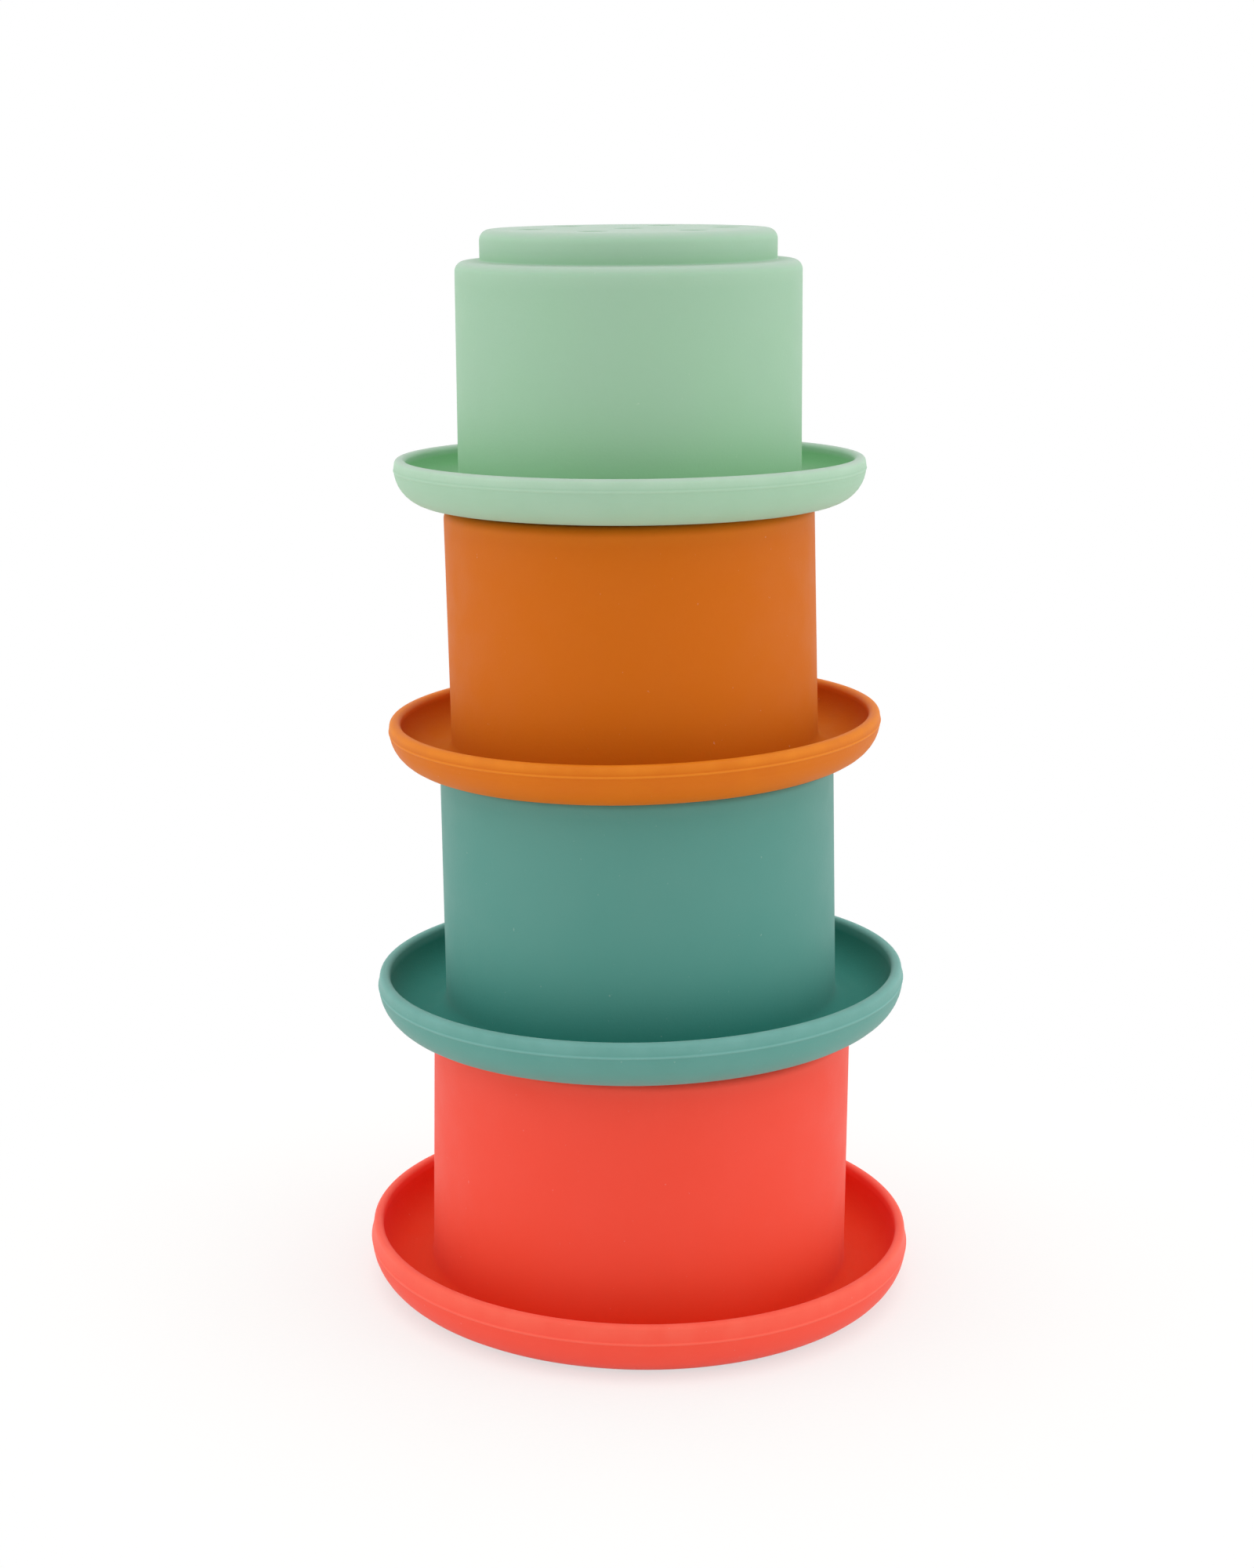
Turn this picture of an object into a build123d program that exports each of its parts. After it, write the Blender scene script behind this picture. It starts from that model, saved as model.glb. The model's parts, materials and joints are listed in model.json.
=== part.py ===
"""A tower of four one-piece silicone stacking cups, each stood mouth down on the plug of the cup below.

Every cup is one moulding: a drafted wall, a shoulder and a plug at the closed end, drain holes through that
end, and a brim round the mouth that turns up into a lip. The plug of each cup fits the mouth of the next
smaller one. The cups are stacked by hand, so each leans a little on the shoulder that carries it.

The origin is the centre of the largest cup's mouth, on the surface that the tower stands on. +Z is up,
+X is to the right and +Y is away from the front. All sizes are in millimetres and all angles in degrees.
"""
import os
from dataclasses import dataclass
from math import cos, hypot, radians, sin, tan

from build123d import *

# The moulding, alike in every cup
WALL = 1.5                  # cup wall, shoulder, closed end and brim floor
DRAFT = 0.45                # slope of the cup wall, widest at the mouth
MINT_MOUTH = 33.0           # outside radius of the smallest cup's wall at its mouth
MOUTH_STEP = 3.15           # how much wider each mouth is than the next smaller one
PLUG_HEIGHT = 5.7           # plug above the shoulder
SEAT_CLEARANCE = 0.4        # radial gap between a plug and the mouth that it fits
SEAT_DEPTH = 6.5            # straight stretch of wall inside the mouth, which a plug enters

# The brim
BEND_MARGIN = 0.15          # from the end of the bend, where the brim turns up, to the parting line
LIP_THICKNESS = 2.3         # lip, at the parting line
LIP_DRAFT = 8.0             # inward slope of the lip above the parting line

# Rounded edges
MOUTH_ROUND = 0.7
FOOT_ROUND_SHARE = 0.68     # where the wall rises from the brim's floor, as a share of the flat beside the bend
SHOULDER_ROUND = 1.9
PLUG_ROOT_ROUND = 0.4
PLUG_TOP_ROUND = 2.0
INSIDE_ROUND = 0.6
LIP_ROUND_SHARE = 0.46      # lip edge radius, as a share of the lip's width at its top

# Drain holes through the closed end: one in the middle and a ring round it
HOLE_DIAMETER = 5.4
HOLE_ROUND = 0.35
RING_HOLES = 6
RING_TURN = 10.0            # first hole of the ring, from +X
RING_MARGIN = 9.5           # from the middle of a ring hole to the side of the plug

# How far the brims reach out from the walls, at the mould's parting line
CORAL_REACH = 12.55
TEAL_REACH = 13.4
ORANGE_REACH = 12.15
MINT_REACH = 12.25

# Parting lines above the mouth
CORAL_PARTING = 7.8
TEAL_PARTING = 7.5
ORANGE_PARTING = 7.1
MINT_PARTING = 7.1

# Tops of the lips above the parting lines
CORAL_LIP = 3.4
TEAL_LIP = 2.4
ORANGE_LIP = 1.5
MINT_LIP = 1.7

# Shoulders above the mouth
CORAL_SHOULDER = 54.0
TEAL_SHOULDER = 51.8
ORANGE_SHOULDER = 48.7
MINT_SHOULDER = 45.5

# How each cup leans on the one below: the turn about X tips its top to the front, about Y to the right
TEAL_LEAN_X = 0.2
TEAL_LEAN_Y = -1.75
ORANGE_LEAN_X = 1.3
ORANGE_LEAN_Y = -0.4
MINT_LEAN_X = 1.6
MINT_LEAN_Y = 1.1

# How far each cup has slipped to the right on the plug below
TEAL_SLIP = -0.2
ORANGE_SLIP = -0.25
MINT_SLIP = 0.25

SEAT_LIFT = 0.02            # least gap between a leaning cup and the shoulder under it


@dataclass
class Cup:
    """The sizes that one cup has to itself, and how it sits on the cup below."""
    name: str
    mouth_radius: float     # outside of the wall, at the mouth
    brim_reach: float       # from the wall at the mouth to the brim's widest, at the parting line
    parting_height: float   # parting line above the mouth
    lip_rise: float         # top of the lip above the parting line
    shoulder_height: float  # shoulder above the mouth
    lean_x: float = 0.0     # turn about X: the top moves towards the front
    lean_y: float = 0.0     # turn about Y: the top moves to the right
    slip: float = 0.0       # to the right, within the plug's clearance

    @property
    def brim_radius(self):
        """The brim's widest, at the parting line."""
        return self.mouth_radius + self.brim_reach

    @property
    def lip_height(self):
        """The top of the lip above the mouth."""
        return self.parting_height + self.lip_rise

    @property
    def shoulder_radius(self):
        """Outside of the wall where it meets the shoulder."""
        return self.mouth_radius - self.shoulder_height * tan(radians(DRAFT))

    @property
    def bore_radius(self):
        """Inside of the wall at the mouth."""
        return self.mouth_radius - WALL

    @property
    def plug_radius(self):
        """Fits the mouth of the next smaller cup."""
        return self.bore_radius - MOUTH_STEP - SEAT_CLEARANCE

    @property
    def top_height(self):
        """The closed end above the mouth."""
        return self.shoulder_height + PLUG_HEIGHT

    @property
    def seat_radius(self):
        """The edge of the flat of the shoulder, where a leaning cup touches it."""
        return self.shoulder_radius - SHOULDER_ROUND


mouths = [MINT_MOUTH + MOUTH_STEP * steps for steps in range(4)]

# From the bottom of the tower to the top
TOWER = [
    Cup("coral_cup", mouths[3], CORAL_REACH, CORAL_PARTING, CORAL_LIP, CORAL_SHOULDER),
    Cup("teal_cup", mouths[2], TEAL_REACH, TEAL_PARTING, TEAL_LIP, TEAL_SHOULDER,
        TEAL_LEAN_X, TEAL_LEAN_Y, TEAL_SLIP),
    Cup("orange_cup", mouths[1], ORANGE_REACH, ORANGE_PARTING, ORANGE_LIP, ORANGE_SHOULDER,
        ORANGE_LEAN_X, ORANGE_LEAN_Y, ORANGE_SLIP),
    Cup("mint_cup", mouths[0], MINT_REACH, MINT_PARTING, MINT_LIP, MINT_SHOULDER,
        MINT_LEAN_X, MINT_LEAN_Y, MINT_SLIP),
]


def cup_section(cup):
    """Half of the cup's section: a closed outline from the axis over the outside, round the lip and back inside."""
    lip_top_radius = cup.brim_radius - cup.lip_rise * tan(radians(LIP_DRAFT))
    channel_radius = cup.brim_radius - LIP_THICKNESS
    lip_round = LIP_ROUND_SHARE * (lip_top_radius - channel_radius)
    brim_bend = cup.parting_height - BEND_MARGIN
    wall_slope = (cup.mouth_radius - cup.shoulder_radius) / cup.shoulder_height
    foot_radius = cup.mouth_radius - WALL * wall_slope
    foot_round = FOOT_ROUND_SHARE * (channel_radius - foot_radius - (brim_bend - WALL))
    inner_shoulder = cup.shoulder_height - WALL
    corners = [
        # radius, height, rounding
        (0, cup.top_height, 0),
        (cup.plug_radius, cup.top_height, PLUG_TOP_ROUND),
        (cup.plug_radius, cup.shoulder_height, PLUG_ROOT_ROUND),
        (cup.shoulder_radius, cup.shoulder_height, SHOULDER_ROUND),
        (foot_radius, WALL, foot_round),
        (channel_radius, WALL, brim_bend - WALL),
        (channel_radius, cup.lip_height, lip_round),
        (lip_top_radius, cup.lip_height, lip_round),
        (cup.brim_radius, cup.parting_height, 0),
        (cup.brim_radius, 0, brim_bend),
        (cup.bore_radius, 0, MOUTH_ROUND),
        (cup.bore_radius, SEAT_DEPTH, 0),
        (cup.shoulder_radius - WALL, inner_shoulder, INSIDE_ROUND),
        (cup.plug_radius - WALL, inner_shoulder, INSIDE_ROUND),
        (cup.plug_radius - WALL, cup.top_height - WALL, INSIDE_ROUND),
        (0, cup.top_height - WALL, 0),
    ]
    with BuildSketch(Plane.XZ) as section:
        with BuildLine():
            FilletPolyline(
                [(radius, height) for radius, height, _ in corners],
                radius=[rounding for _, _, rounding in corners],
                close=True,
            )
        make_face()
    return section.sketch


def make_cup(cup):
    """One cup, standing on its mouth at the origin."""
    ring_radius = cup.plug_radius - RING_MARGIN
    with BuildPart() as part:
        add(cup_section(cup))
        revolve(axis=Axis.Z)
        with Locations((0, 0, cup.top_height)):
            Hole(HOLE_DIAMETER / 2, depth=2 * WALL)
            with PolarLocations(ring_radius, RING_HOLES, start_angle=RING_TURN):
                Hole(HOLE_DIAMETER / 2, depth=2 * WALL)
        fillet(hole_edges(part), HOLE_ROUND)
    return part.part


def hole_edges(part):
    """The rims of the drain holes, above and below the closed end."""
    circles = part.edges().filter_by(GeomType.CIRCLE)
    return [edge for edge in circles if abs(edge.radius - HOLE_DIAMETER / 2) < 0.01]


def seat_on(below, cup):
    """Where a leaning cup's mouth rests on the cup below: raised until its low side just clears the shoulder."""
    lean = hypot(radians(cup.lean_x), radians(cup.lean_y))
    lift = below.seat_radius * sin(lean) + SHOULDER_ROUND * (1 - cos(lean)) + SEAT_LIFT
    return Pos(cup.slip, 0, below.shoulder_height + lift) * Rot(cup.lean_x, cup.lean_y, 0)


def build_tower():
    """Every cup in its place in the tower, by name."""
    placed = {}
    place = Location()
    below = None
    for cup in TOWER:
        if below is not None:
            place = place * seat_on(below, cup)
        placed[cup.name] = place * make_cup(cup)
        below = cup
    return placed


os.makedirs("parts", exist_ok=True)
for name, shape in build_tower().items():
    export_step(shape, f"parts/{name}.step")
    print(name, "volume", round(shape.volume), "mm3, box", shape.bounding_box().size)
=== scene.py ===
"""Looks for a tower of four moulded silicone stacking cups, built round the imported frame.

Everything is in metres and in the frame's own axes: +Z up, +X right, the front towards -Y.
"""
import json
from math import ceil, cos, pi, radians, sin, tan

import bmesh
import bpy
import numpy as np
from mathutils import Matrix, Vector, geometry


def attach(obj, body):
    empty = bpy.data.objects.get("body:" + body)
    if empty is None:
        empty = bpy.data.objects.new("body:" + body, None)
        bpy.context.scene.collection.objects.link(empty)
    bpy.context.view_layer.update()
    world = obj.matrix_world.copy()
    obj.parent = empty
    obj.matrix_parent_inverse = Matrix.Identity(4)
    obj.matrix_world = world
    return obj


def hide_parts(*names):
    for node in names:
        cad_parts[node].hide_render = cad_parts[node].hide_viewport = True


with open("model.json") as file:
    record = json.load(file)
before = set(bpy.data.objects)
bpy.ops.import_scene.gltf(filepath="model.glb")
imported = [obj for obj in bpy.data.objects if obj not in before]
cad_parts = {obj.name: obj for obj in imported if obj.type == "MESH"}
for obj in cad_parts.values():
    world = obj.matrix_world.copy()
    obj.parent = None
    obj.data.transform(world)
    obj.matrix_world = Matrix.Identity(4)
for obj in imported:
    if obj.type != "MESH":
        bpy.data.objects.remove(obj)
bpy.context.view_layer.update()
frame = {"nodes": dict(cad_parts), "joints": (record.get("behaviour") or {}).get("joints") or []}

# ---- The coral cup ---------------------------------------------------------------------------------------
# The largest cup stands mouth down on its brim and carries the others. It is one moulding of soft silicone,
# cured in a two-part steel mould whose halves meet round the widest part of the brim, which leaves a seam.
ARC_STEP = radians(9)       # most that one step of a rounded corner turns
STRAIGHT = radians(1)       # a corner that turns less than this stays sharp


def corner_arc(before, corner, after, radius):
    """Points of the arc of that radius that rounds a corner of an outline."""
    into = (before - corner).normalized()
    out = (after - corner).normalized()
    inside = into.angle(out)
    turn = pi - inside
    if radius == 0 or turn < STRAIGHT:
        return [corner]
    middle = corner + (into + out).normalized() * radius / sin(inside / 2)
    start = corner + into * radius * tan(turn / 2) - middle
    end = corner + out * radius * tan(turn / 2) - middle
    steps = max(4, ceil(turn / ARC_STEP))
    arc = []
    for step in range(steps + 1):
        share = step / steps
        arc.append(middle + (start * sin((1 - share) * turn) + end * sin(share * turn)) / sin(turn))
    return arc


# Sizes that every cup of the set shares, in mm
WALL = 1.5                  # wall, shoulder, closed end and brim floor
DRAFT = 0.45                # degrees: the wall is widest at the mouth
PLUG_HEIGHT = 5.7           # plug above the shoulder
PLUG_STEP = 3.55            # from the inside of the mouth in to the plug's radius
SEAT_DEPTH = 6.5            # straight stretch inside the mouth
BEND_MARGIN = 0.15          # from the end of the bend, where the brim turns up, to its widest point
LIP_THICKNESS = 2.3
LIP_DRAFT = 8.0             # degrees
LIP_ROUND_SHARE = 0.46      # lip edge radius, as a share of the lip's width at its top
MOUTH_ROUND = 0.7
FOOT_ROUND_SHARE = 0.68     # foot of the wall, as a share of the flat between it and the bend
SHOULDER_ROUND = 1.9
PLUG_ROOT_ROUND = 0.4
PLUG_TOP_ROUND = 2.0
INSIDE_ROUND = 0.6

SEAM_WIDTH = 0.55           # mm: the thin line of silicone squeezed between the mould halves
SEAM_PROUD = 0.13           # mm
SEAM_STEPS = 6              # rings across the seam
SEAM_REACH = 1              # mm: the rings are that fine this far above and below the seam
OUTER_FACE = 1              # mm: the outer face of the brim is this close to its widest
LONGEST_STEP = 2.0          # mm between rings on a straight wall
PAINTED_SHADE_RISE = 4            # power of the curve in which the painted shade of the tray eases out up a wall


def cup_outline(mouth, brim, widest, seam, lip, shoulder):
    """The cup's section, in mm, as rings of (radius, height, how much it is rubbed and painted with
    highlight, how much painted shade it takes, seam). They go from the rim of its flat top over the outside,
    round the lip and the brim, and back inside to the top's underside."""
    top = shoulder + PLUG_HEIGHT
    shoulder_radius = mouth - shoulder * tan(radians(DRAFT))
    bore = mouth - WALL
    plug = bore - PLUG_STEP
    channel = brim - LIP_THICKNESS
    lip_top = brim - (lip - widest) * tan(radians(LIP_DRAFT))
    lip_round = LIP_ROUND_SHARE * (lip_top - channel)
    bend = widest - BEND_MARGIN
    foot = mouth - WALL * tan(radians(DRAFT))
    foot_round = FOOT_ROUND_SHARE * (channel - foot - (bend - WALL))
    corners = [
        # radius, height, rounding, how much it gets rubbed and painted with highlight, how much painted shade
        # it takes
        (0, top, 0, 0, 0),
        (plug, top, PLUG_TOP_ROUND, 0.25, 0),
        (plug, shoulder, PLUG_ROOT_ROUND, 0, 0.3),
        (shoulder_radius, shoulder, SHOULDER_ROUND, 0.25, 0),
        (foot, WALL, foot_round, 0, 1),
        (channel, WALL, bend - WALL, 0, 1),
        (channel, lip, lip_round, 1, 0),
        (lip_top, lip, lip_round, 1, 0),
        (brim, widest, 0, 0.5, 0),
        (brim, 0, bend, 0.3, 0),
        (bore, 0, MOUTH_ROUND, 0.5, 0),
        (bore, SEAT_DEPTH, 0, 0, 1),
        (shoulder_radius - WALL, shoulder - WALL, INSIDE_ROUND, 0, 1),
        (plug - WALL, shoulder - WALL, INSIDE_ROUND, 0, 1),
        (plug - WALL, top - WALL, INSIDE_ROUND, 0, 1),
        (0, top - WALL, 0, 0, 1),
    ]
    rounded = []
    for before, corner, after in zip(corners, corners[1:], corners[2:]):
        spots = [Vector(spot[:2]) for spot in (before, corner, after)]
        rounded += [(point, corner[3], corner[4]) for point in corner_arc(*spots, corner[2])]
    outer_face = brim - OUTER_FACE
    rings = [rounded[0]]
    for (start, rubbed_and_highlit, painted_shade_and_untouched), (end, end_rubbed_and_highlit, end_painted_shade_and_untouched) in zip(rounded, rounded[1:]):
        lowest, highest = sorted((start.y, end.y))
        by_seam = lowest < seam + SEAM_REACH and highest > seam - SEAM_REACH
        on_seam = by_seam and max(start.x, end.x) > outer_face
        steps = ceil((end - start).length / (SEAM_WIDTH / SEAM_STEPS if on_seam else LONGEST_STEP))
        for step in range(1, steps):
            share = step / steps
            painted_shade_share = painted_shade_and_untouched + (end_painted_shade_and_untouched - painted_shade_and_untouched) * share ** PAINTED_SHADE_RISE
            on_brim = min(start.x, end.x) > outer_face
            wear_and_painted_highlight = rubbed_and_highlit + (end_rubbed_and_highlit - rubbed_and_highlit) * share if on_brim else 0
            rings.append((start.lerp(end, share), wear_and_painted_highlight, painted_shade_share))
        rings.append((end, end_rubbed_and_highlit, end_painted_shade_and_untouched))
    outline = []
    for point, rubbed_and_highlit, painted_shade_and_untouched in rings:
        from_seam = abs(point.y - seam) / (SEAM_WIDTH / 2) if point.x > outer_face else 1
        ridge = max(0, 1 - from_seam ** 2)
        outline.append((point.x + SEAM_PROUD * ridge, point.y, rubbed_and_highlit, painted_shade_and_untouched, ridge))
    return outline


def ring_of_points(radius, height, steps, centre=(0, 0)):
    """Points of a level circle."""
    ring = []
    for step in range(steps):
        turn = 2 * pi * step / steps
        ring.append(Vector((centre[0] + radius * cos(turn), centre[1] + radius * sin(turn), height)))
    return ring


# Drain holes through the closed end: one in the middle and a ring round it, in mm
HOLE_RADIUS = 2.7
HOLE_ROUND = 0.35
RING_HOLES = 6
RING_TURN = 10.0            # degrees: first hole of the ring, from +X
RING_MARGIN = 9.5           # from a ring hole to the side of the plug
HOLE_TURNS = 40             # steps round a hole
TINY = 1e-7                 # closer than this, two points of the filling count as one


def close_with_holes(moulding, edge, hole_rims, hole_centres):
    """Fills a level disc inside its edge loop, apart from the holes."""
    verts = edge + [vert for rim in hole_rims for vert in rim]
    loops = [range(len(edge))]
    for number in range(len(hole_rims)):
        first = len(edge) + number * HOLE_TURNS
        loops.append(range(first, first + HOLE_TURNS))
    edges = [(loop[step], loop[(step + 1) % len(loop)]) for loop in loops for step in range(len(loop))]
    flat = [vert.co.xy for vert in verts]
    hole_edge = (HOLE_RADIUS + HOLE_ROUND) * cos(pi / HOLE_TURNS)
    triangles = geometry.delaunay_2d_cdt(flat, edges, [], 0, TINY)[2]
    for triangle in triangles:
        middle = sum((flat[corner] for corner in triangle), Vector((0, 0))) / 3
        if all((middle - centre).length > hole_edge for centre in hole_centres):
            moulding.faces.new([verts[corner] for corner in triangle])


def join_rings(moulding, rings):
    """Walls between each ring of vertices and the next."""
    for ring, following in zip(rings, rings[1:]):
        for step in range(len(ring)):
            ahead = (step + 1) % len(ring)
            moulding.faces.new((ring[step], following[step], following[ahead], ring[ahead]))


def cup_place(node):
    """Where the frame holds a cup. Its axis is the slide that lifts it, and its mouth is its own solid's."""
    axis = Vector((0, 0, 1))
    for joint in frame["joints"]:
        if joint["child"] == node:
            axis = Vector(joint["axis"]).normalized()
    turn = Vector((0, 0, 1)).rotation_difference(axis).to_matrix()
    spots = np.array([vert.co for vert in frame["nodes"][node].data.vertices]) @ np.array(turn)
    low, high = spots.min(axis=0), spots.max(axis=0)
    mouth = turn @ Vector(((low[0] + high[0]) / 2, (low[1] + high[1]) / 2, low[2]))
    return Matrix.Translation(mouth) @ turn.to_4x4()


def ease(value, start, end):
    """0 before start, 1 after end, and smooth between them."""
    share = min(1, max(0, (value - start) / (end - start)))
    return share * share * (3 - 2 * share)


MM = 0.001                  # in metres
TURNS = 144                 # steps round a cup
HOLE_RUBBED_AND_HIGHLIT = 0.25          # how much the rims of the holes get rubbed and painted with highlight


def mould_cup(name, node, outline, flex=None):
    """One cup in its place. A soft cup gives where another presses on it: flex takes a point of the standing
    cup, in mm, and returns how far it rises."""
    moulding = bmesh.new()
    # Marks that the material paints: shade in the hollows, highlight with wear on rounded edges, and the seam
    rubbed_and_highlit_layer = moulding.verts.layers.float.new("rubbed_and_highlit")
    painted_shade_layer = moulding.verts.layers.float.new("painted_shade_and_untouched")
    seam_layer = moulding.verts.layers.float.new("seam")
    rings = []
    for radius, height, rubbed_and_highlit, painted_shade_and_untouched, ridge in outline:
        ring = [moulding.verts.new(point) for point in ring_of_points(radius, height, TURNS)]
        for vert in ring:
            vert[rubbed_and_highlit_layer] = rubbed_and_highlit
            vert[painted_shade_layer] = painted_shade_and_untouched
            vert[seam_layer] = ridge
        rings.append(ring)
    join_rings(moulding, rings)

    top = outline[0][1]
    ring_radius = outline[0][0] + PLUG_TOP_ROUND - RING_MARGIN
    centres = [Vector((0, 0))]
    for number in range(RING_HOLES):
        turn = radians(RING_TURN) + 2 * pi * number / RING_HOLES
        centres.append(Vector((ring_radius * cos(turn), ring_radius * sin(turn))))
    beside = HOLE_RADIUS + WALL
    hole_corners = [
        Vector((beside, top)),
        Vector((HOLE_RADIUS, top)),
        Vector((HOLE_RADIUS, top - WALL)),
        Vector((beside, top - WALL)),
    ]
    hole_outline = corner_arc(*hole_corners[:3], HOLE_ROUND) + corner_arc(*hole_corners[1:], HOLE_ROUND)
    upper_rims, lower_rims = [], []
    for centre in centres:
        hole_rings = []
        for point in hole_outline:
            circle = ring_of_points(point.x, point.y, HOLE_TURNS, centre)
            hole_rings.append([moulding.verts.new(spot) for spot in circle])
        for vert in hole_rings[1] + hole_rings[2]:
            vert[rubbed_and_highlit_layer] = HOLE_RUBBED_AND_HIGHLIT
        join_rings(moulding, hole_rings)
        upper_rims.append(hole_rings[0])
        lower_rims.append(hole_rings[-1])
    close_with_holes(moulding, rings[0], upper_rims, centres)
    close_with_holes(moulding, rings[-1], lower_rims, centres)

    if flex:
        for vert in moulding.verts:
            vert.co.z += flex(vert.co)
    bmesh.ops.transform(moulding, matrix=cup_place(node) @ Matrix.Scale(MM, 4), verts=moulding.verts)
    bmesh.ops.recalc_face_normals(moulding, faces=moulding.faces)
    mesh = bpy.data.meshes.new(name)
    moulding.to_mesh(mesh)
    moulding.free()
    mesh.shade_smooth()
    cup = bpy.data.objects.new(name, mesh)
    bpy.context.scene.collection.objects.link(cup)
    return cup


def linear(hex_colour):
    """An sRGB hex colour as the linear colour that a socket takes."""
    shares = [int(hex_colour[start:start + 2], 16) / 255 for start in (1, 3, 5)]
    return [share / 12.92 if share <= 0.04045 else ((share + 0.055) / 1.055) ** 2.4 for share in shares] + [1]


def add(tree, kind, sockets=None, **settings):
    """Adds a shader node with its settings, and fills or links its sockets."""
    node = tree.nodes.new("ShaderNode" + kind)
    for setting, value in settings.items():
        setattr(node, setting, value)
    for socket, value in (sockets or {}).items():
        if isinstance(value, bpy.types.NodeSocket):
            tree.links.new(value, node.inputs[socket])
        else:
            node.inputs[socket].default_value = value
    return node


# Moulded silicone: soft, solid-coloured rubber with a fine matt skin from the blasted mould. To the eye it is
# chalky where light falls on it, deep and saturated where it only sees itself, and paler at grazing angles.
# The deep colour in the hollows is painted shade, the pale colour on edges and seam is painted highlight as
# well as wear, and the grey on faces that look up is a painted reflection.
GRAIN = 0.55 * MM           # the blasted skin is nearer 0.1 mm, too fine to show, so it is drawn coarser
RIPPLE = 16 * MM            # slow unevenness of a soft wall
CLOUD = 24 * MM             # drift of the pigment in the cured rubber
HAZE = 7 * MM               # patches that handling has left a little smoother
DUST = 0.8 * MM             # lint and dust that silicone draws
DRIFT = 0.16                # most that the pigment drifts towards the deep colour, which is also the painted shade colour
UNTOUCHED = 0.25            # how much rougher the skin stays where no hand reaches
LINT = "#F4EFE8"
# grey painted on faces that look up, for the reflection that a flat top shows
TOP_REFLECTION_GREY = "#A8ABAA"


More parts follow.
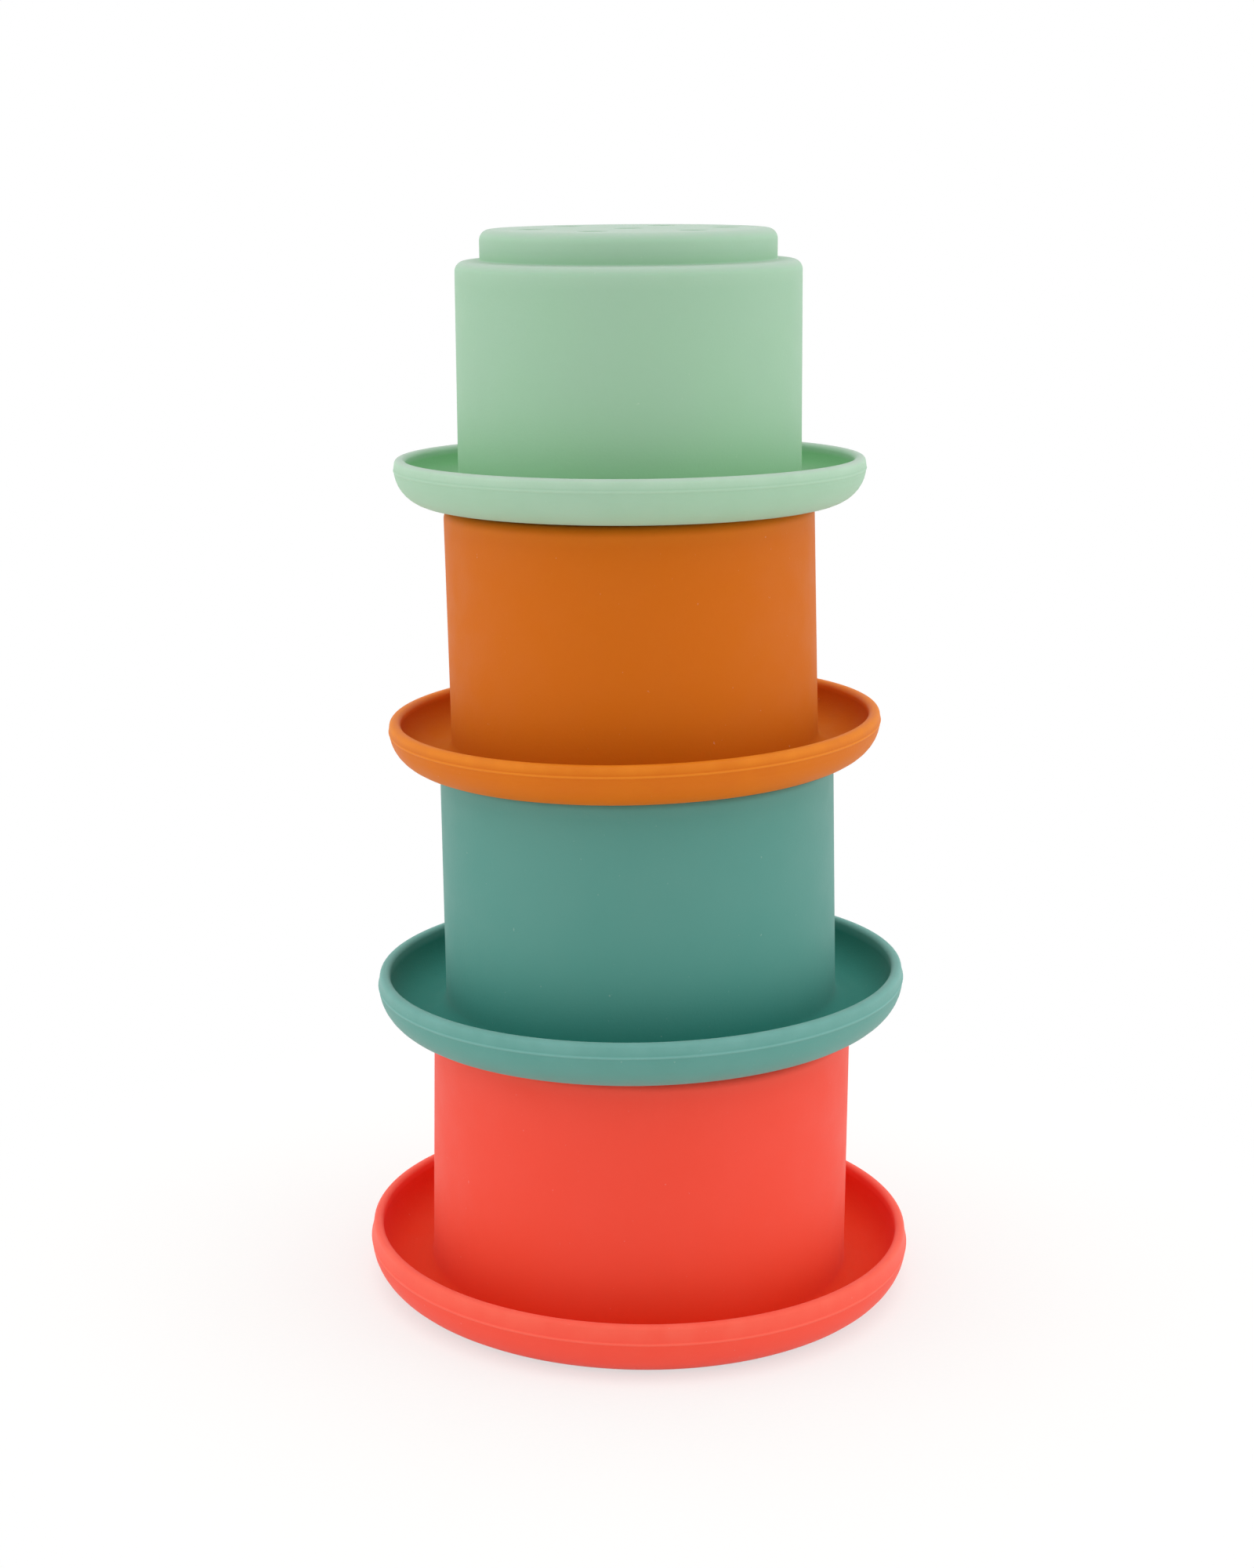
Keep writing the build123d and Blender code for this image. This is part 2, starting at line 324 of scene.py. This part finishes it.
def moulded_silicone(name, colour, deep_and_painted_shade, pale_highlight_and_wear, bloom, seam_highlight=0.45, top_reflection=0.0):
    """One silicone colour. It takes its deep colour as painted shade in the hollows, and its pale colour as
    painted highlight and wear on the seam and rounded edges. Its bloom is the waxy haze that a low angle
    shows, and the grey on faces that look up is a painted reflection."""
    material = bpy.data.materials.new(name)
    material.use_nodes = True
    tree = material.node_tree
    tree.nodes.clear()
    spot = add(tree, "TexCoord").outputs["Object"]
    cloud = add(tree, "TexNoise", {"Vector": spot, "Scale": 1 / CLOUD, "Detail": 2.0}).outputs["Fac"]
    haze = add(tree, "TexNoise", {"Vector": spot, "Scale": 1 / HAZE, "Detail": 3.0}).outputs["Fac"]
    grain = add(tree, "TexNoise", {"Vector": spot, "Scale": 1 / GRAIN, "Detail": 2.0}).outputs["Fac"]
    ripple = add(tree, "TexNoise", {"Vector": spot, "Scale": 1 / RIPPLE, "Detail": 1.0}).outputs["Fac"]
    dust = add(tree, "TexNoise", {"Vector": spot, "Scale": 1 / DUST, "Detail": 1.0}).outputs["Fac"]

    pigment = add(tree, "MapRange", {"Value": cloud, "From Min": 0.3, "From Max": 0.7, "To Max": DRIFT})
    # Painted shade: the tray, the crease at the plug's root and the inside take the deep colour
    painted_shade_and_untouched = add(tree, "Attribute", attribute_name="painted_shade_and_untouched").outputs["Fac"]
    drift_and_painted_shade = add(tree, "Math", {0: pigment.outputs["Result"], 1: painted_shade_and_untouched}, operation="ADD", use_clamp=True)
    body = add(tree, "MixRGB", {
        "Fac": drift_and_painted_shade.outputs["Value"], "Color1": linear(colour), "Color2": linear(deep_and_painted_shade),
    })
    # Painted highlight: the seam ridge takes the pale colour, as well as standing proud
    seam = add(tree, "Attribute", attribute_name="seam").outputs["Fac"]
    on_seam = add(tree, "Math", {0: seam, 1: seam_highlight}, operation="MULTIPLY")
    seam_highlighted = add(tree, "MixRGB", {
        "Fac": on_seam.outputs["Value"], "Color1": body.outputs["Color"], "Color2": linear(pale_highlight_and_wear),
    })
    # Painted highlight with wear: the rounded edges, the lip most, turn pale in patches
    rubbed_and_highlit = add(tree, "Attribute", attribute_name="rubbed_and_highlit").outputs["Fac"]
    patchy = add(tree, "MapRange", {
        "Value": haze, "From Min": 0.35, "From Max": 0.65, "To Min": 0.3, "To Max": 0.5,
    })
    wear_and_painted_highlight = add(tree, "Math", {0: rubbed_and_highlit, 1: patchy.outputs["Result"]}, operation="MULTIPLY")
    worn_and_highlit = add(tree, "MixRGB", {
        "Fac": wear_and_painted_highlight.outputs["Value"], "Color1": seam_highlighted.outputs["Color"], "Color2": linear(pale_highlight_and_wear),
    })
    specks = add(tree, "MapRange", {"Value": dust, "From Min": 0.78, "From Max": 0.84, "To Max": 0.12})
    specked = add(tree, "MixRGB", {
        "Fac": specks.outputs["Result"], "Color1": worn_and_highlit.outputs["Color"], "Color2": linear(LINT),
    })
    # Painted reflection: faces that look up turn grey
    facing = add(tree, "SeparateXYZ", {"Vector": add(tree, "NewGeometry").outputs["Normal"]})
    top_reflection_share = add(tree, "MapRange", {"Value": facing.outputs["Z"], "From Min": 0.3, "To Max": top_reflection})
    top_reflected = add(tree, "MixRGB", {
        "Fac": top_reflection_share.outputs["Result"],
        "Color1": specked.outputs["Color"],
        "Color2": linear(TOP_REFLECTION_GREY),
    })
    handled = add(tree, "MapRange", {
        "Value": haze, "From Min": 0.3, "From Max": 0.7, "To Min": 0.52, "To Max": 0.64,
    })
    roughness = add(tree, "Math", {
        0: painted_shade_and_untouched, 1: UNTOUCHED, 2: handled.outputs["Result"],
    }, operation="MULTIPLY_ADD")
    slow = add(tree, "Bump", {"Height": ripple, "Distance": 0.25 * MM, "Strength": 0.5})
    fine = add(tree, "Bump", {
        "Height": grain, "Distance": 0.05 * MM, "Strength": 0.5, "Normal": slow.outputs["Normal"],
    })
    skin = add(tree, "BsdfPrincipled", {
        "Base Color": top_reflected.outputs["Color"],
        "Roughness": roughness.outputs["Value"],
        "Normal": fine.outputs["Normal"],
        "IOR": 1.41,
        "Specular IOR Level": 0.24,
        "Subsurface Weight": 0.15,
        "Subsurface Radius": (1.0, 0.7, 0.6),
        "Subsurface Scale": 1.2 * MM,
        "Sheen Weight": bloom,
        "Sheen Roughness": 0.5,
    })
    add(tree, "OutputMaterial", {"Surface": skin.outputs["BSDF"]})
    return material


def finish_cup(cup, node, silicone):
    """Gives a cup its silicone and its place among the frame's bodies, and hides the plain solid."""
    cup.data.materials.append(silicone)
    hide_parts(node)
    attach(cup, node)


# Each cup's deep colour is its painted shade, and its pale colour its painted highlight and wear
coral_silicone = moulded_silicone(
    "moulded_silicone_coral", colour="#F54F3D", deep_and_painted_shade="#EE4420", pale_highlight_and_wear="#FC7762", bloom=0.06,
)
coral_outline = cup_outline(mouth=42.45, brim=55.0, widest=7.8, seam=7.8, lip=11.2, shoulder=54.0)
coral_cup = mould_cup("coral_cup_moulding", "coral_cup", coral_outline)
finish_cup(coral_cup, "coral_cup", coral_silicone)

# ---- The teal cup ----------------------------------------------------------------------------------------
# Second in size, of the same moulded silicone in a greyed blue-green. Its mouth slips over the coral plug,
# and it leans to the left on the coral shoulder, because the plug is a loose fit.
teal_silicone = moulded_silicone(
    "moulded_silicone_teal", colour="#5B968C", deep_and_painted_shade="#368C80", pale_highlight_and_wear="#82B7B1", bloom=0.1,
)
teal_outline = cup_outline(mouth=39.3, brim=52.7, widest=7.5, seam=7.4, lip=9.9, shoulder=51.8)
teal_cup = mould_cup("teal_cup_moulding", "teal_cup", teal_outline)
finish_cup(teal_cup, "teal_cup", teal_silicone)

# ---- The orange cup --------------------------------------------------------------------------------------
# Third in size, moulded in the same silicone in an earthy orange. It leans a little to the front on the teal
# shoulder, and its soft top gives where the mint cup rests on it.
orange_silicone = moulded_silicone(
    "moulded_silicone_orange", colour="#CF6800", deep_and_painted_shade="#CC6A00", pale_highlight_and_wear="#F0932A", bloom=0.0,
)
orange_outline = cup_outline(mouth=36.15, brim=48.3, widest=7.1, seam=6.6, lip=8.6, shoulder=48.7)
SEAT_RISE = 0.6             # mm: the soft top gives up towards the mint brim
SEAT_TIP = 0.6              # degrees: and a little more on the left
SEAT_GIVES = (22, 46)       # mm above the mouth: the stretch of wall that takes up the bend


def meet_the_mint_brim(point):
    """The orange top comes up towards the brim that rests on it, and leaves a narrow crevice under it."""
    return (SEAT_RISE - point.x * tan(radians(SEAT_TIP))) * ease(point.z, *SEAT_GIVES)


orange_cup = mould_cup("orange_cup_moulding", "orange_cup", orange_outline, meet_the_mint_brim)
finish_cup(orange_cup, "orange_cup", orange_silicone)

# ---- The mint cup ----------------------------------------------------------------------------------------
# The smallest cup, of the same moulded silicone in a pale green, with a grey reflection painted on its flat
# top. It leans to the front, but the orange shoulder presses its soft brim level again, so the brim tips back
# from the wall.
mint_silicone = moulded_silicone(
    "moulded_silicone_mint", colour="#9DC1A6", deep_and_painted_shade="#95C99B", pale_highlight_and_wear="#C1DBC7", bloom=0.03,
    seam_highlight=0.15, top_reflection=0.5,
)
mint_outline = cup_outline(mouth=33.0, brim=45.25, widest=7.1, seam=6.6, lip=8.8, shoulder=45.5)
BRIM_TIP = 1.86             # degrees, back from the wall
BRIM_GIVES = (9, 30)        # mm above the mouth: the stretch of wall that takes up the bend


def press_brim_level(point):
    """The mint brim tips back as one, and the wall above it takes up the bend."""
    return -point.y * tan(radians(BRIM_TIP)) * (1 - ease(point.z, *BRIM_GIVES))


mint_cup = mould_cup("mint_cup_moulding", "mint_cup", mint_outline, press_brim_level)
finish_cup(mint_cup, "mint_cup", mint_silicone)

# ---- The studio ------------------------------------------------------------------------------------------
# A matt white sweep under and behind the tower, lit so that it reads as plain white and still takes the soft
# shadow where the largest brim stands on it.
FLOOR_RADIUS = 6.0          # metres
FLOOR_SIDES = 96
UNDER_TOWER = 0.06          # metres from the axis: the floor shows its shadow in full up to here
SHADOW_REACH = 0.17         # metres: the shadow fades out by here, and beyond it the floor is plain white
LEAST_PLAIN = 0.62          # share of plain white that softens the shadow at its fullest
FIBRE = 0.8 * MM            # coarser than the fibres of real paper, which are too fine to show

floor_mesh = bpy.data.meshes.new("studio_floor")
floor_rim = ring_of_points(FLOOR_RADIUS, 0, FLOOR_SIDES)
floor_mesh.from_pydata(floor_rim, [], [tuple(range(FLOOR_SIDES))])
floor = bpy.data.objects.new("studio_floor", floor_mesh)
bpy.context.scene.collection.objects.link(floor)


def seen_directly(tree):
    """1 on rays from the camera, a reflection or a clear part, and 0 on the rays that light the tower."""
    path = add(tree, "LightPath").outputs
    seen = add(tree, "Math", {0: path["Is Camera Ray"], 1: path["Is Glossy Ray"]}, operation="MAXIMUM")
    seen = add(tree, "Math", {0: seen.outputs[0], 1: path["Is Transmission Ray"]}, operation="MAXIMUM")
    return seen.outputs[0]


sweep = bpy.data.materials.new("matt_white_sweep")
sweep.use_nodes = True
tree = sweep.node_tree
tree.nodes.clear()
spot = add(tree, "TexCoord").outputs["Object"]
away = add(tree, "VectorMath", {0: spot}, operation="LENGTH").outputs["Value"]
plain = add(tree, "MapRange", {
    "Value": away, "From Min": UNDER_TOWER, "From Max": SHADOW_REACH, "To Min": LEAST_PLAIN, "To Max": 1,
}, interpolation_type="SMOOTHSTEP")
fibre = add(tree, "TexNoise", {"Vector": spot, "Scale": 1 / FIBRE, "Detail": 2.0}).outputs["Fac"]
paper = add(tree, "MixRGB", {"Fac": fibre, "Color1": linear("#F7F6F3"), "Color2": linear("#F1F0ED")})
shaded = add(tree, "BsdfDiffuse", {"Color": paper.outputs["Color"]})
white = add(tree, "Emission", {"Color": linear("#FFFFFF"), "Strength": 1.0})
how_plain = add(tree, "Math", {0: plain.outputs["Result"], 1: seen_directly(tree)}, operation="MULTIPLY")
surface = add(tree, "MixShader", {0: how_plain.outputs[0], 1: shaded.outputs[0], 2: white.outputs[0]})
add(tree, "OutputMaterial", {"Surface": surface.outputs[0]})
floor_mesh.materials.append(sweep)

# Soft light: white walls all round, one large softbox overhead and one at each side. No lamp stands on the
# camera's side, so the cups are a little darker down their middle.
WALL_LIGHT = 0.84           # of the white that the walls show when they are seen directly

room = bpy.data.worlds.new("white_room")
bpy.context.scene.world = room
room.use_nodes = True
tree = room.node_tree
tree.nodes.clear()
strength = add(tree, "MapRange", {"Value": seen_directly(tree), "To Min": WALL_LIGHT, "To Max": 1.0})
walls = add(tree, "Background", {"Color": linear("#FFFFFF"), "Strength": strength.outputs["Result"]})
add(tree, "OutputWorld", {"Surface": walls.outputs[0]})


def softbox(name, place, aim, width, height, power):
    """A rectangular softbox that faces the aim point."""
    lamp = bpy.data.lights.new(name, "AREA")
    lamp.shape = "RECTANGLE"
    lamp.size = width
    lamp.size_y = height
    lamp.energy = power
    box = bpy.data.objects.new(name, lamp)
    box.location = place
    box.rotation_euler = (Vector(aim) - Vector(place)).to_track_quat("-Z", "Y").to_euler()
    bpy.context.scene.collection.objects.link(box)


TOWER_MIDDLE = (0, 0, 0.1)
softbox("overhead_softbox", (0, 0.1, 1.3), TOWER_MIDDLE, 1.2, 1.2, 5.8)
softbox("left_softbox", (-1.2, -0.1, 0.5), TOWER_MIDDLE, 0.8, 1.2, 2.9)
softbox("right_softbox", (1.2, -0.1, 0.5), TOWER_MIDDLE, 0.8, 1.2, 3.2)

# ---- The camera ------------------------------------------------------------------------------------------
# It stands 0.44 m in front of the tower at its upper third and looks down on it by 12 degrees.
EYE = Vector((0, -0.44338, 0.19803))
YAW = radians(-0.467)
PITCH = radians(12.278)
ROLL = radians(-0.701)

ahead = Vector((sin(YAW) * cos(PITCH), cos(YAW) * cos(PITCH), -sin(PITCH)))
level = Vector((cos(YAW), -sin(YAW), 0))
down = ahead.cross(level)
right = cos(ROLL) * level + sin(ROLL) * down
up = sin(ROLL) * level - cos(ROLL) * down
lens = bpy.data.cameras.new("camera")
lens.lens = 52.39
lens.sensor_width = 36
lens.clip_start = 0.02
lens.clip_end = 30
camera = bpy.data.objects.new("camera", lens)
camera.matrix_world = Matrix.Translation(EYE) @ Matrix((right, up, -ahead)).transposed().to_4x4()
bpy.context.scene.collection.objects.link(camera)
bpy.context.scene.camera = camera
bpy.context.scene.view_settings.view_transform = "Standard"
